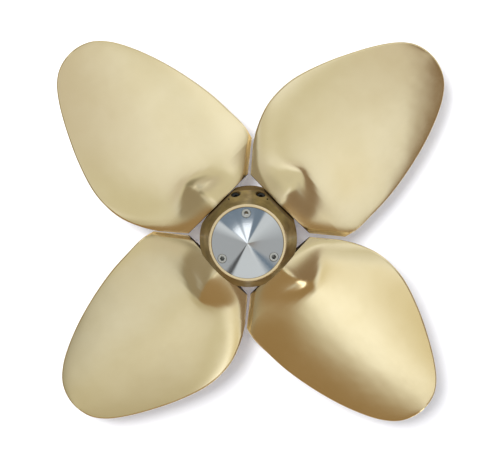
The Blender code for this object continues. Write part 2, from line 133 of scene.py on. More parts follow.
# Screws at the hub's rounded corners: the radii of shank and head, the head's height and the socket's
# radius
M6_SCREW = (3 * MM, 5 * MM, 6 * MM, 2.9 * MM)
M5_SCREW = (2.5 * MM, 4.25 * MM, 5 * MM, 2.3 * MM)
CORNERS = (0, 1, 2, 3)
CAP_SCREW_CORNER = 1
CAP_SCREW_OFFSET = 13.2 * MM
CAP_SCREW_TILT = math.radians(25)
CAP_SCREW_DISTANCE = 42.3 * MM
CAP_SCREW_SEAT = 32 * MM
CAP_SCREW_LENGTH = 16 * MM
M6_POCKET_RADIUS = 5.4 * MM
HUB_BOLT_OFFSET = 9 * MM
HUB_BOLT_DISTANCE = 41.5 * MM
HUB_BOLT_SEAT = -44 * MM
LONG_BOLT_CORNERS = (0, 2, 3)
LONG_BOLT_LENGTH = 80 * MM
SHORT_BOLT_LENGTH = 60 * MM
M5_POCKET_RADIUS = 4.6 * MM
SOCKET_DEPTH = 2.4 * MM
SOCKET_MARGIN = 0.01 * MM
HEX_SIDES = 6
SCREW_EDGE = 0.25 * MM
SCREW_SIDES = 40
POCKET_LENGTH = 40 * MM
PIN_OFFSET = 20.4 * MM
PIN_DISTANCE = 43.8 * MM
PIN_HOLE_RADIUS = 1 * MM
PIN_HOLE_DEPTH = 2 * MM
PIN_HOLE_REACH = 10 * MM
KEPT_NODES = ("shaft_nut", "lock_pin_1", "lock_pin_2")

# Boss on the shaft's taper
BOSS_TOP = 22 * MM
BOSS_RADIUS = CAVITY_RADIUS - GAP
BOSS_FLANGE_RADIUS = 33 * MM
BOSS_FLANGE_TOP = -50 * MM
TAPER_RADIUS = 18 * MM
TAPER_RATE = 0.05
KEYWAY_WIDTH = 10 * MM
KEYWAY_DEPTH = 4 * MM
KEYWAY_LENGTH = 4 * SPINDLE_HEIGHT

# Lights, which only the floor and the rough surfaces show
FLOOR_SIZE = 8
FLOOR_COLOUR = (0.9, 0.905, 0.93)
FLOOR_GLOW = (0.03, 0.045, 0.10)
KEY_PLACE = (-0.36, 0.46, 1.6)
KEY_SIZE = 0.5
KEY_POWER = 27
FILL_PLACE = (0.05, 0.22, 1.8)
FILL_SIZE = 0.6
FILL_POWER = 4

# Studio that the metal reflects, by the X and Y of a direction: a bright panel overhead, four walls
# that meet at the diagonals, and soft pools of light and shade on the panel, each with its radius in
# degrees, its strength and its tint
PANEL_COLOUR = (0.74, 0.76, 0.70)
PANEL_WEST = -0.52
PANEL_NORTH = 0.75
PANEL_EDGE_SOFTNESS = 0.05
PANEL_SOUTH = -0.42
PANEL_SOUTH_SLANT = 0.18
PANEL_SOUTH_SOFTNESS = 0.048
PANEL_EAST = 0.29
PANEL_EAST_SLANT = 0.35
PANEL_EAST_SOFTNESS = 0.02
EAST_WALL_END = 0.13
NORTH_COLOUR = (0.62, 0.62, 0.60)
EAST_COLOUR = (0.28, 0.21, 0.15)
SOUTH_COLOUR = (0.36, 0.26, 0.145)
WEST_COLOUR = (0.34, 0.31, 0.25)
STRIP_COLOUR = (2.4, 2.4, 2.3)
STRIP_MIDDLE = -0.34
STRIP_HALF_WIDTH = 0.26
STRIP_REACH = 0.95
STRIP_TOP = 0.4
STRIP_SOFTNESS = 0.08
COOL = (1, 1.07, 1.15)
PLAIN = (1, 1, 1)
WARM = (1, 0.97, 0.8)
POOLS = (
    ((0.26, 0.28), 15, 1.1, COOL),
    ((0.26, -0.25), 19, 1.0, COOL),
    ((0.15, -0.28), 11, 1.35, COOL),
    ((0.03, -0.31), 8, 1.3, COOL),
    ((-0.36, -0.02), 10, 0.85, COOL),
    ((-0.01, 0.15), 11, 1.0, COOL),
    ((-0.22, -0.20), 6, 1.0, COOL),
    ((-0.24, 0.21), 15, 0.7, PLAIN),
    ((0.32, 0.08), 12, 0.75, PLAIN),
    ((-0.59, -0.12), 18, 0.25, WARM),
    ((-0.26, -0.32), 12, 0.55, WARM),
    ((0.17, -0.27), 10, 0.85, WARM),
    ((-0.42, 0.58), 20, 0.3, WARM),
)

# Plain cards and lamps low down round the studio, which only the anode's fine turned grooves show. Each
# stands from one direction to another, in degrees from east to north, and they blend into each other.
GREY_CARD = (0.45, 0.46, 0.46)
PALE_CARD = (0.7, 0.72, 0.72)
BLUE_CARD = (0.2, 0.25, 0.3)
BLACK_CARD = (0.1, 0.1, 0.1)
LAMP = (1.2, 1.2, 1.2)
LAMP_SPILL = (0.5, 0.5, 0.5)
NO_LAMP = (0, 0, 0)
BAND_TOP = 0.302
BAND_SLANT = 0.117
BAND_SOFTNESS = 0.01
CARDS = (
    (-180, -126, GREY_CARD), (-120, -116, BLACK_CARD), (-112, -66, PALE_CARD), (-54, -50, BLUE_CARD),
    (-40, 0, GREY_CARD), (40, 55, PALE_CARD), (60, 146, BLUE_CARD), (150, 155, PALE_CARD),
    (170, 180, GREY_CARD),
)
LAMPS = (
    (-180, 74, NO_LAMP), (79, 106, LAMP), (110, 118, LAMP_SPILL), (122, 142, LAMP), (150, 180, NO_LAMP),
)
LAMPS_LOW = 0.205

# Metals. A plain metal is a colour and a roughness. Clouds, grain and grooves are noise patterns, by
# scale, detail and roughness. The other pairs are the ends that a pattern runs between.
PLAIN_BLADE = ((0.80, 0.66, 0.40), 0.2)
PLAIN_HUB = ((0.74, 0.57, 0.32), 0.18)
PLAIN_ANODE = ((0.75, 0.77, 0.78), 0.18)
PLAIN_STEEL_ROUGHNESS = 0.3
PATTERN_RANGE = (0.3, 0.7)
GRAIN_RANGE = (0.25, 0.75)
PALE_BRONZE = ((0.785, 0.645, 0.385, 1), (0.82, 0.685, 0.43, 1))
# The cone's bronze is darker than the ring's: painted shade.
CONE_SHADE_BRONZE = ((0.22, 0.17, 0.075, 1), (0.42, 0.33, 0.15, 1))
RING_BRONZE = (0.82, 0.66, 0.42, 1)
# Near black bronze on the faces in the gaps between the blades and the hub: painted shade.
GAP_SHADE_BRONZE = (0.10, 0.062, 0.025, 1)
# Dark brown on the barrel, which is no metal there: painted shade in place of the dark reflection on its
# wall.
BARREL_SHADE_BROWN = (0.19, 0.125, 0.05, 1)
DULL_ROUGHNESS = 0.5
BLADE_CLOUDS = (16, 4, 0.55)
BLADE_GRAIN = (1, 3, 0.6)
BLADE_STRETCH = (90, 420, 90)
BLADE_ROUGHNESS = (0.10, 0.115)
ROOT_ROUGHNESS = 0.14
HUB_CLOUDS = (60, 4, 0.6)
HUB_GROOVES = (1, 2, 0.5)
HUB_STRETCH = (1, 1, 900)
HUB_ROUGHNESS = (0.16, 0.26)
CONE_ROUGHNESS = 0.14
HUB_GROOVE_HEIGHT = 0.03 * MM
HUB_GROOVE_STRENGTH = 0.3
BARREL_BORDER = 1 * MM
ANODE_GROOVES = (2600, 2, 0.5)
ANODE_GROOVE_SPREAD = (0.985, 1.015)
ANODE_ROUGHNESS = (0.08, 0.12)
STEEL_GRAIN = (900, 2)
STEEL_ROUGHNESS = (0.22, 0.4)
SCREW_STEEL = (0.52, 0.52, 0.50)
# Near black steel of the cap screws and the pins: painted shade of the pockets and holes they sit in.
POCKET_SHADE_STEEL = (0.05, 0.05, 0.048)
# Near black inside the sockets: painted shade.
SOCKET_SHADE = (0.02, 0.02, 0.02, 1)
FLOOR_ROUGHNESS = 0.8
FLOOR_SPECULAR = 0.1

# Meshes: distances that weld points, and angles from which an edge stays sharp
WELD_DISTANCE = 0.001 * MM
TURN_WELD_DISTANCE = 0.01 * MM
PIECE_SHARP_ANGLE = 15
BLADE_SHARP_ANGLE = 30

HUB_FRAME = Matrix.Translation((0, 0, SPINDLE_HEIGHT))


def through(points, where):
    """A smooth curve through (position, value) points, read at one position."""
    last = len(points) - 1
    slopes = []
    for here in range(last + 1):
        before = points[max(here - 1, 0)]
        after = points[min(here + 1, last)]
        slopes.append((after[1] - before[1]) / (after[0] - before[0]))
    spot = 0
    while spot < last - 1 and where > points[spot + 1][0]:
        spot += 1
    (x0, y0), (x1, y1) = points[spot], points[spot + 1]
    span = x1 - x0
    t = (where - x0) / span
    value = y0 * (1 + 2 * t) * (1 - t) ** 2 + y1 * t * t * (3 - 2 * t)
    return value + span * t * (1 - t) * (slopes[spot] * (1 - t) - slopes[spot + 1] * t)


def tip_share(radius):
    """Square root of the way left to the tip: 1 at the corner and 0 at the tip."""
    return math.sqrt(max(TIP_RADIUS - radius, 0) / (TIP_RADIUS - CORNER_RADIUS))


def half_width(radius, offsets, root_width):
    """Distance from the spindle's axis to one edge of the blade."""
    if radius < CORNER_RADIUS:
        share = (radius - ROOT_RADIUS) / (CORNER_RADIUS - ROOT_RADIUS)
        return root_width + share * (offsets[0][1] * MM - root_width)
    points = [(tip_share(place * MM), width * MM) for place, width in reversed(offsets)]
    return through(points, tip_share(radius))


def facet_height(radius, side, offsets, root_width):
    """Height of the sloping facet beside the gap to the next blade."""
    run = Vector((CORNER_RADIUS - ROOT_RADIUS, offsets[0][1] * MM - root_width)).normalized()
    inward = (radius - ROOT_RADIUS) * run.y - (side - root_width) * run.x
    return EDGE_HALF_THICKNESS + FACET_SLOPE * max(inward, 0)


def half_thickness(radius, side, leading, trailing):
    """Half the blade's thickness at a radius and a distance towards the leading edge."""
    share = side / (leading if side > 0 else trailing)
    middle = through(HALF_THICKNESS, radius / MM) * MM
    foil = EDGE_HALF_THICKNESS + (middle - EDGE_HALF_THICKNESS) * max(1 - share * share, 0) ** FOIL_POWER
    out = (radius - ROOT_RADIUS) / CREST_LENGTH
    aside = math.hypot(side + CREST_OFFSET + CREST_DRIFT * out**3, CREST_ROUND)
    hood = CREST_HEIGHT - CREST_DROP * out**3 - FLANK_SLOPE * aside
    full = (foil + hood + math.hypot(foil - hood, HOOD_FILLET)) / 2
    facet = min(
        facet_height(radius, side, LEADING_OFFSETS, LEADING_ROOT),
        facet_height(radius, -side, TRAILING_OFFSETS, TRAILING_ROOT),
    )
    blend = (full + facet - math.hypot(full - facet, FACET_ROUND)) / 2
    return max(blend, EDGE_HALF_THICKNESS)


def section_radii():
    """Radii of the blade's sections, closer together towards the tip."""
    radii = [ROOT_RADIUS, ROOT_RADIUS + ROOT_CHAMFER]
    for step in range(1, ROOT_STATIONS):
        share = step / ROOT_STATIONS
        radii.append(ROOT_RADIUS + share * (CORNER_RADIUS - ROOT_RADIUS))
    for step in range(BLADE_STATIONS + 1):
        share = 1 + (TIP_SHARE - 1) * step / BLADE_STATIONS
        radii.append(TIP_RADIUS - (TIP_RADIUS - CORNER_RADIUS) * share * share)
    return radii


def edge_distances(spots, outline):
    """Distance of each spot from an open outline, both in the blade's plane."""
    starts = outline[:-1]
    runs = outline[1:] - starts
    lengths = (runs * runs).sum(axis=1)
    nearest = np.full(len(spots), np.inf)
    for start, run, length in zip(starts, runs, lengths):
        away = spots - start
        along = np.clip(away @ run / length, 0, 1)
        nearest = np.minimum(nearest, np.hypot(*(away - along[:, None] * run).T))
    return nearest


def ripple(spot, seed):
    """Slight waves that hand finishing leaves in the surface."""
    place = Vector((spot[0], spot[1], seed)) / RIPPLE_LENGTH
    return RIPPLE_HEIGHT * (noise.noise(place) + FINE_RIPPLE_SHARE * noise.noise(place * FINE_RIPPLE_RATE))


def blade_mesh(name, seed):
    """A blade with its rounded edge and the stub of its spindle. The leading edge is on -Y."""
    radii = section_radii()
    spots = []
    heights = []
    ends = []
    for radius in radii:
        leading = half_width(radius, LEADING_OFFSETS, LEADING_ROOT)
        trailing = half_width(radius, TRAILING_OFFSETS, TRAILING_ROOT)
        ends.append((leading, trailing))
        for step in range(-HALF_CHORD_POINTS, HALF_CHORD_POINTS + 1):
            share = math.sin(step / HALF_CHORD_POINTS * math.pi / 2)
            side = share * (leading if share > 0 else trailing)
            spots.append((radius, -side))
            heights.append(half_thickness(radius, side, leading, trailing))
    outline = [(radius, trailing) for radius, (leading, trailing) in zip(radii, ends)]
    outline += [(radius, -leading) for radius, (leading, trailing) in reversed(list(zip(radii, ends)))]
    away = edge_distances(np.array(spots), np.array(outline))
    shape = bmesh.new()
    aft = []
    forward = []
    for spot, height, distance in zip(spots, heights, away):
        inside = min(distance / EDGE_HALF_THICKNESS, 1)
        level = height if inside >= 1 else min(height, EDGE_HALF_THICKNESS) * math.sqrt(inside * (2 - inside))
        if spot[0] == ROOT_RADIUS:
            level -= ROOT_CHAMFER * inside
        fade = min(distance / EDGE_FADE, 1)
        aft.append(shape.verts.new((*spot, level + fade * ripple(spot, seed))))
        forward.append(shape.verts.new((*spot, -level - fade * ripple(spot, seed + 1))))
    count = 2 * HALF_CHORD_POINTS + 1
    for row in range(len(radii) - 1):
        for column in range(count - 1):
            here = row * count + column
            there = here + count
            shape.faces.new((aft[here], aft[there], aft[there + 1], aft[here + 1]))
            shape.faces.new((forward[here], forward[here + 1], forward[there + 1], forward[there]))
    shape.faces.new(forward[:count][::-1] + aft[:count])
    bmesh.ops.remove_doubles(shape, verts=shape.verts, dist=WELD_DISTANCE)
    outward = Matrix.Rotation(math.pi / 2, 4, "Y")
    middle = Matrix.Translation(((SPINDLE_INNER + ROOT_RADIUS) / 2, 0, 0))
    bmesh.ops.create_cone(
        shape, cap_ends=True, segments=SPINDLE_SIDES, radius1=SPINDLE_RADIUS, radius2=SPINDLE_RADIUS,
        depth=ROOT_RADIUS - SPINDLE_INNER, matrix=middle @ outward,
    )
    bmesh.ops.recalc_face_normals(shape, faces=shape.faces)
    mesh = bpy.data.meshes.new(name)
    shape.to_mesh(mesh)
    shape.free()
    spots = mesh.attributes.new(BLADE_ATTRIBUTE, "FLOAT_VECTOR", "POINT")
    for spot, vertex in zip(spots.data, mesh.vertices):
        spot.vector = vertex.co + Vector((0, 0, seed))
    return mesh


def spindle_turn(number):
    """Turn about the shaft that brings X onto a blade's spindle."""
    return Matrix.Rotation(FIRST_BLADE_ANGLE + 2 * math.pi * number / BLADE_COUNT, 4, "Z")


def add_piece(name, mesh, material, body, nodes, place=HUB_FRAME, sharp=PIECE_SHARP_ANGLE):
    """A visible piece that rides on a body and stands for CAD nodes."""
    mesh.transform(place)
    piece = bpy.data.objects.new(name, mesh)
    bpy.context.scene.collection.objects.link(piece)
    mesh.materials.clear()
    mesh.materials.append(material)
    mesh.shade_smooth()
    mesh.set_sharp_from_angle(angle=math.radians(sharp))
    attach(piece, body)
    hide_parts(*nodes)
    return piece


def add_blades(material):
    """The four blades, turned to their rest pitch."""
    for number in range(BLADE_COUNT):
        name = f"blade_{number + 1}"
        pitch = Matrix.Rotation(REST_PITCH, 4, "X")
        place = HUB_FRAME @ spindle_turn(number) @ pitch
        mesh = blade_mesh(f"{name}_casting", SEED_STEP * number)
        add_piece(f"{name}_casting", mesh, material, name, [name], place, BLADE_SHARP_ANGLE)


def scratch_object(name, mesh, place):
    """An object that only helps to make a mesh."""
    item = bpy.data.objects.new(name, mesh)
    bpy.context.scene.collection.objects.link(item)
    item.matrix_world = place
    return item


def finished_mesh(item):
    """The mesh that an object's modifiers make. The object is removed."""
    bpy.context.view_layer.update()
    seen = item.evaluated_get(bpy.context.evaluated_depsgraph_get())
    mesh = bpy.data.meshes.new_from_object(seen)
    bpy.data.objects.remove(item, do_unlink=True)
    return mesh


def rounded(profile, closed, edge):
    """The profile with each corner off the axis cut by two short faces."""
    points = []
    count = len(profile)
    for here, (radius, height) in enumerate(profile):
        if not closed and here in (0, count - 1):
            points.append((radius, height))
            continue
        corner = Vector((radius, height))
        before = Vector(profile[here - 1]) - corner
        after = Vector(profile[(here + 1) % count]) - corner
        start = corner + before.normalized() * edge
        end = corner + after.normalized() * edge
        for share in (0, 0.5, 1):
            bend = start.lerp(end, share).lerp(corner, 2 * share * (1 - share))
            points.append((bend.x, bend.y))
    return points


def turned_mesh(name, profile, sides, closed=False, edge=EDGE_ROUND):
    """A turned shape from (radius, height) points, which run down its outer side."""
    points = rounded(profile, closed, edge)
    mesh = bpy.data.meshes.new(name)
    edges = [(here, here + 1) for here in range(len(points) - 1)]
    if closed:
        edges.append((len(points) - 1, 0))
    mesh.from_pydata([(radius, 0, height) for radius, height in points], edges, [])
    item = scratch_object(name, mesh, Matrix.Identity(4))
    turn = item.modifiers.new("turn", "SCREW")
    turn.steps = sides
    turn.render_steps = sides
    turn.use_merge_vertices = True
    turn.merge_threshold = TURN_WELD_DISTANCE
    return finished_mesh(item)


def cylinders(shape, places, radius, low, high, sides):
    """Adds capped cylinders, one about the Z axis of each place."""
    middle = Matrix.Translation((0, 0, (low + high) / 2))
    for place in places:
        bmesh.ops.create_cone(
            shape, cap_ends=True, segments=sides, radius1=radius, radius2=radius,
            depth=high - low, matrix=place @ middle,
        )


def corner_places(corners, offset, distance, height, tilt=0):
    """Places on both sides of the hub's rounded corners, of which 0 is on +X and 1 on +Y.

    A tilt leans their Z axes out from the shaft.
    """
    places = []
    for corner in corners:
        turn = Matrix.Rotation(2 * math.pi * corner / len(CORNERS), 4, "Z")
        for side in (-offset, offset):
            spot = Matrix.Translation((distance, side, height))
            places.append(turn @ spot @ Matrix.Rotation(tilt, 4, "Y"))
    return places


def cut(mesh, fill):
    """The mesh without the closed shapes that a function fills in. Each set of shapes may touch no other."""
    shape = bmesh.new()
    fill(shape)
    tool = bpy.data.meshes.new("tool")
    shape.to_mesh(tool)
    shape.free()
    cutter = scratch_object("cutter", tool, Matrix.Identity(4))
    item = scratch_object("blank", mesh, Matrix.Identity(4))
    modifier = item.modifiers.new("cut", "BOOLEAN")
    modifier.solver = "EXACT"
    modifier.object = cutter
    result = finished_mesh(item)
    bpy.data.objects.remove(cutter, do_unlink=True)
    return result


def flats(shape):
    """Blocks that leave the four flats."""
    size = Matrix.Diagonal((*FLAT_CUT, 1))
    for number in range(BLADE_COUNT):
        place = spindle_turn(number) @ Matrix.Translation((FLAT_DISTANCE + FLAT_CUT[0] / 2, 0, 0))
        bmesh.ops.create_cube(shape, size=1, matrix=place @ size)


def cap_screw_places():
    """Seats of the cap's two screws, with Z pointing out of their pockets."""
    corners = (CAP_SCREW_CORNER,)
    return corner_places(corners, CAP_SCREW_OFFSET, CAP_SCREW_DISTANCE, CAP_SCREW_SEAT, CAP_SCREW_TILT)


def cap_pockets(shape):
    """Pockets over the cap's screws."""
    cylinders(shape, cap_screw_places(), M6_POCKET_RADIUS, 0, POCKET_LENGTH, POCKET_SIDES)


def pin_holes(shape):
    """Mouths of the holes for the small pins."""
    slope = (AFT_FACE_HEIGHT - SHOULDER_HEIGHT) / (BARREL_RADIUS - AFT_FACE_RADIUS)
    surface = SHOULDER_HEIGHT + (BARREL_RADIUS - math.hypot(PIN_OFFSET, PIN_DISTANCE)) * slope
    places = corner_places((CAP_SCREW_CORNER,), PIN_OFFSET, PIN_DISTANCE, surface)
    cylinders(shape, places, PIN_HOLE_RADIUS, -PIN_HOLE_DEPTH, PIN_HOLE_REACH, POCKET_SIDES)


def bolt_places(corners):
    """Seats of the bolts in the forward half, with Z pointing forward out of their pockets."""
    return corner_places(corners, HUB_BOLT_OFFSET, HUB_BOLT_DISTANCE, HUB_BOLT_SEAT, math.pi)


def bolt_pockets(shape):
    """Pockets over the heads of the bolts in the forward half."""
    cylinders(shape, bolt_places(CORNERS), M5_POCKET_RADIUS, 0, POCKET_LENGTH, POCKET_SIDES)


def spindle_bores(shape):
    """The bores that the blades' spindles turn in, with room at the end of each."""
    outward = Matrix.Rotation(math.pi / 2, 4, "Y")
    places = [spindle_turn(number) @ outward for number in range(BLADE_COUNT)]
    cylinders(shape, places, SPINDLE_RADIUS + GAP, SPINDLE_INNER - GAP, BARREL_RADIUS, SPINDLE_SIDES)


def anode_screw_places(height):
    """Axes of the three anode screws."""
    places = []
    for degrees in ANODE_SCREW_ANGLES:
        turn = Matrix.Rotation(math.radians(degrees), 4, "Z")
        places.append(turn @ Matrix.Translation((ANODE_SCREW_CIRCLE, 0, height)))
    return places


def add_hub(material):
    """The hub: its cap, and the two halves of its barrel."""
    seat = AFT_FACE_HEIGHT - ANODE_RECESS
    recess = ANODE_RADIUS + GAP
    cap = turned_mesh("cap", (
        (0, seat), (recess, seat), (recess, AFT_FACE_HEIGHT), (AFT_FACE_RADIUS, AFT_FACE_HEIGHT),
        (BARREL_RADIUS, SHOULDER_HEIGHT), (BARREL_RADIUS, CAP_JOINT_HEIGHT + GAP),
        (CAVITY_RADIUS, CAP_JOINT_HEIGHT + GAP), (CAVITY_RADIUS, CAVITY_TOP), (0, CAVITY_TOP),
    ), HUB_SIDES)
    for fill in (flats, cap_pockets, pin_holes):
        cap = cut(cap, fill)
    add_piece("hub_cap_casting", cap, material, "hub", ["hub_cap"])
    aft = turned_mesh("aft", (
        (CAVITY_RADIUS, CAP_JOINT_HEIGHT), (BARREL_RADIUS, CAP_JOINT_HEIGHT),
        (BARREL_RADIUS, GAP / 2), (CAVITY_RADIUS, GAP / 2),
    ), HUB_SIDES, True)
    for fill in (flats, spindle_bores):
        aft = cut(aft, fill)
    add_piece("hub_aft_casting", aft, material, "hub", ["hub_aft_half"])
    forward = turned_mesh("forward", (
        (CAVITY_RADIUS, -GAP / 2), (BARREL_RADIUS, -GAP / 2), (BARREL_RADIUS, FORWARD_SHOULDER),
        (FORWARD_FACE_RADIUS, FORWARD_FACE), (FLANGE_RADIUS, FORWARD_FACE), (FLANGE_RADIUS, FLANGE_SEAT),
        (CAVITY_RADIUS, FLANGE_SEAT),
    ), HUB_SIDES, True)
    for fill in (flats, spindle_bores, bolt_pockets):
        forward = cut(forward, fill)
    add_piece("hub_forward_casting", forward, material, "hub", ["hub_forward_half"])


def screw_mesh(name, profile, top, socket):
    """A turned screw with a hexagon socket in its head."""

    def fill(shape):
        """The hexagon socket."""
        cylinders(shape, [Matrix.Identity(4)], socket, top - SOCKET_DEPTH, top + SOCKET_DEPTH, HEX_SIDES)

    mesh = cut(turned_mesh(name, profile, SCREW_SIDES, False, SCREW_EDGE), fill)
    depths = mesh.attributes.new(DEPTH_ATTRIBUTE, "FLOAT", "POINT")
    for depth, vertex in zip(depths.data, mesh.vertices):
        inside = math.hypot(vertex.co.x, vertex.co.y) < socket + SOCKET_MARGIN
        depth.value = min((top - vertex.co.z) / SOCKET_DEPTH, 1) if inside else 0
    return mesh


def cap_head_profile(shank, head, height, length):
    """Profile of a socket cap screw with its head's seat at height 0."""
    low = GAP
    high = low + height
    return (0, high), (head, high), (head, low), (shank, low), (shank, -length), (0, -length)


def add_screws(material, dark):
    """The cap's screws, the bolts through the hub, and the anode's screws."""
    groups = (
        ("cap_screw", cap_screw_places(), CAP_SCREW_LENGTH, M6_SCREW, dark),
        ("long_bolt", bolt_places(LONG_BOLT_CORNERS), LONG_BOLT_LENGTH, M5_SCREW, material),
        ("short_bolt", bolt_places((CAP_SCREW_CORNER,)), SHORT_BOLT_LENGTH, M5_SCREW, material),
    )
    for name, places, length, (shank, head, height, socket), finish in groups:
        profile = cap_head_profile(shank, head, height, length)
        for number, place in enumerate(places):
            node = f"{name}_{number + 1}"
            mesh = screw_mesh(node, profile, GAP + height, socket)
            add_piece(f"{node}_steel", mesh, finish, "hub", [node], HUB_FRAME @ place)
    top = anode_height(ANODE_SCREW_CIRCLE) - ANODE_HEAD_SINK
    neck = top - ANODE_HEAD_DEPTH
    end = AFT_FACE_HEIGHT - ANODE_RECESS - ANODE_SCREW_LENGTH + GAP
    profile = (
        (0, top), (ANODE_HEAD_RADIUS, top), (ANODE_SCREW_RADIUS, neck), (ANODE_SCREW_RADIUS, end), (0, end),
    )
    for number, place in enumerate(anode_screw_places(0)):
        node = f"anode_screw_{number + 1}"
        mesh = screw_mesh(node, profile, top, ANODE_SOCKET_RADIUS)
        add_piece(f"{node}_steel", mesh, material, "hub", [node], HUB_FRAME @ place)


def keyway(shape):
    """The slot beside the tapered bore."""
    reach = TAPER_RADIUS + KEYWAY_DEPTH
    size = Matrix.Diagonal((KEYWAY_WIDTH, reach, KEYWAY_LENGTH, 1))
    bmesh.ops.create_cube(shape, size=1, matrix=Matrix.Translation((0, reach / 2, 0)) @ size)


def add_boss(material):
    """The boss with its tapered bore, on whose flange the propeller stands."""
    bottom = -SPINDLE_HEIGHT
    small_end = TAPER_RADIUS - TAPER_RATE * (BOSS_TOP - bottom)
    mesh = turned_mesh("boss", (
        (small_end, BOSS_TOP), (BOSS_RADIUS, BOSS_TOP), (BOSS_RADIUS, BOSS_FLANGE_TOP),
        (BOSS_FLANGE_RADIUS, BOSS_FLANGE_TOP), (BOSS_FLANGE_RADIUS, bottom), (TAPER_RADIUS, bottom),
    ), HUB_SIDES, True)
    add_piece("boss_casting", cut(mesh, keyway), material, "hub", ["shaft_boss"])


def anode_height(radius):
    """Height of the anode's shallow cone at a radius."""
    return ANODE_APEX_HEIGHT - (ANODE_APEX_HEIGHT - ANODE_EDGE_HEIGHT) * radius / ANODE_RADIUS


def anode_seats(shape):
    """Round seats that the screws' heads sit in."""
    places = anode_screw_places(anode_height(ANODE_SCREW_CIRCLE))
    cylinders(shape, places, ANODE_HEAD_RADIUS + GAP, -ANODE_SEAT_DEPTH, ANODE_SEAT_REACH, POCKET_SIDES)


def add_anode(material):
    """The anode, with its screws' seats."""
    base = AFT_FACE_HEIGHT - ANODE_RECESS + GAP
    rim = ANODE_RADIUS + GAP - RING_GAP
    mesh = turned_mesh("anode", (
        (0, ANODE_APEX_HEIGHT), (rim, ANODE_EDGE_HEIGHT), (rim, base), (0, base),
    ), HUB_SIDES, False, RING_EDGE)
    add_piece("anode_casting", cut(mesh, anode_seats), material, "hub", ["anode"])


class Nodes:
    """Short calls for building a node tree."""

    def __init__(self, tree):
        self.tree = tree

    def add(self, kind, settings=(), **inputs):
        """A node with its settings, and each input set to a value or linked to a socket."""
        node = self.tree.nodes.new(kind)
        for name, value in dict(settings).items():
            setattr(node, name, value)
        for name, value in inputs.items():
            self.set(node, name.replace("_", " "), value)
        return node

    def set(self, node, name, value):
        """One input of a node, by its name or its number."""
        socket = node.inputs[name]
        if isinstance(value, bpy.types.NodeSocket):
            self.tree.links.new(value, socket)
        else:
            socket.default_value = value

    def math(self, operation, first, second=0.0):
        """The result of a Math node."""
        node = self.add("ShaderNodeMath", {"operation": operation})
        self.set(node, 0, first)
        self.set(node, 1, second)
        return node.outputs[0]

    def spread(self, value, low, high, to_low, to_high):
        """A value moved smoothly from one range to another."""
        node = self.add("ShaderNodeMapRange", {"interpolation_type": "SMOOTHSTEP"})
        for number, setting in enumerate((value, low, high, to_low, to_high)):
            self.set(node, number, setting)
        return node.outputs[0]

    def step(self, value, middle, softness):
        """A soft step from 0 to 1."""
        return self.spread(value, middle - softness, middle + softness, 0.0, 1.0)

    def one_minus(self, value):
        """1 less the value."""
        return self.math("SUBTRACT", 1.0, value)

    def mix(self, share, first, second):
        """A mix of two colours."""
        node = self.add("ShaderNodeMix", {"data_type": "RGBA"})
        self.set(node, 0, share)
        self.set(node, 6, first)
        self.set(node, 7, second)
        return node.outputs[2]

    def turn_colours(self, turn, cards):
        """Colours of the cards that stand round the studio, read at a turn."""
        place = self.math("ADD", self.math("DIVIDE", turn, 2 * math.pi), 0.5)
        node = self.add("ShaderNodeValToRGB", Fac=place)
        elements = node.color_ramp.elements
        stops = [(edge, colour) for first, last, colour in cards for edge in (first, last)]
        for number, (degrees, colour) in enumerate(stops):
            position = degrees / 360 + 0.5
            element = elements[number] if number < 2 else elements.new(position)
            element.position = position
            element.color = (*colour, 1)
        return node.outputs[0]

    def vector(self, operation, first, second=None):
        """The result of a Vector Math node."""
        node = self.add("ShaderNodeVectorMath", {"operation": operation})
        self.set(node, 0, first)
        if second is not None:
            self.set(node, "Scale" if operation == "SCALE" else 1, second)
        return node.outputs["Value" if operation in ("LENGTH", "DOT_PRODUCT") else "Vector"]

    def noise(self, place, scale, detail=3.0, roughness=0.5):
        """A noise pattern between 0 and 1."""
        node = self.add("ShaderNodeTexNoise", Vector=place, Scale=scale, Detail=detail, Roughness=roughness)
        return node.outputs[0]


def new_material(name, colour, roughness):
    """A metal, with its nodes, its shader and its place on the object."""
    material = bpy.data.materials.new(name)
    material.use_nodes = True
    nodes = Nodes(material.node_tree)
    shader = material.node_tree.nodes["Principled BSDF"]
    shader.inputs["Base Color"].default_value = (*colour, 1)
    shader.inputs["Metallic"].default_value = 1
    shader.inputs["Roughness"].default_value = roughness
    place = nodes.add("ShaderNodeTexCoord").outputs["Object"]
    return material, nodes, shader, place


def stretched(nodes, place, scales):
    """A place stretched along the axes."""
    node = nodes.add("ShaderNodeMapping", Vector=place, Scale=scales)
    return node.outputs[0]


def parts_of(nodes, place):
    """The three parts of a place."""
    return nodes.add("ShaderNodeSeparateXYZ", Vector=place).outputs


def blade_metal():
    """Pale bronze, ground by hand and polished, and rough where it faces the hub, with painted shade in near
    black there.
    """
    material, nodes, shader, _ = new_material("blade_bronze", *PLAIN_BLADE)
    place = nodes.add("ShaderNodeAttribute", {"attribute_name": BLADE_ATTRIBUTE}).outputs["Vector"]
    cloud = nodes.noise(place, *BLADE_CLOUDS)
    grain = nodes.noise(stretched(nodes, place, BLADE_STRETCH), *BLADE_GRAIN)
    pale = nodes.mix(nodes.spread(cloud, *PATTERN_RANGE, 0, 1), *PALE_BRONZE)
    along = parts_of(nodes, place)[0]
    # The root face, which faces the hub, gets painted shade in near black, and is rough.
    shade_and_rough = nodes.spread(along, ROOT_RADIUS + GAP, ROOT_RADIUS + 2 * GAP, 1.0, 0.0)
    nodes.set(shader, "Base Color", nodes.mix(shade_and_rough, pale, GAP_SHADE_BRONZE))
    smooth = nodes.spread(grain, *GRAIN_RANGE, *BLADE_ROUGHNESS)
    smooth = nodes.math("ADD", smooth, nodes.spread(along, *ROOT_FINISH, ROOT_ROUGHNESS, 0.0))
    rough = nodes.math("MULTIPLY", shade_and_rough, DULL_ROUGHNESS)
    nodes.set(shader, "Roughness", nodes.math("MAXIMUM", smooth, rough))
    return material


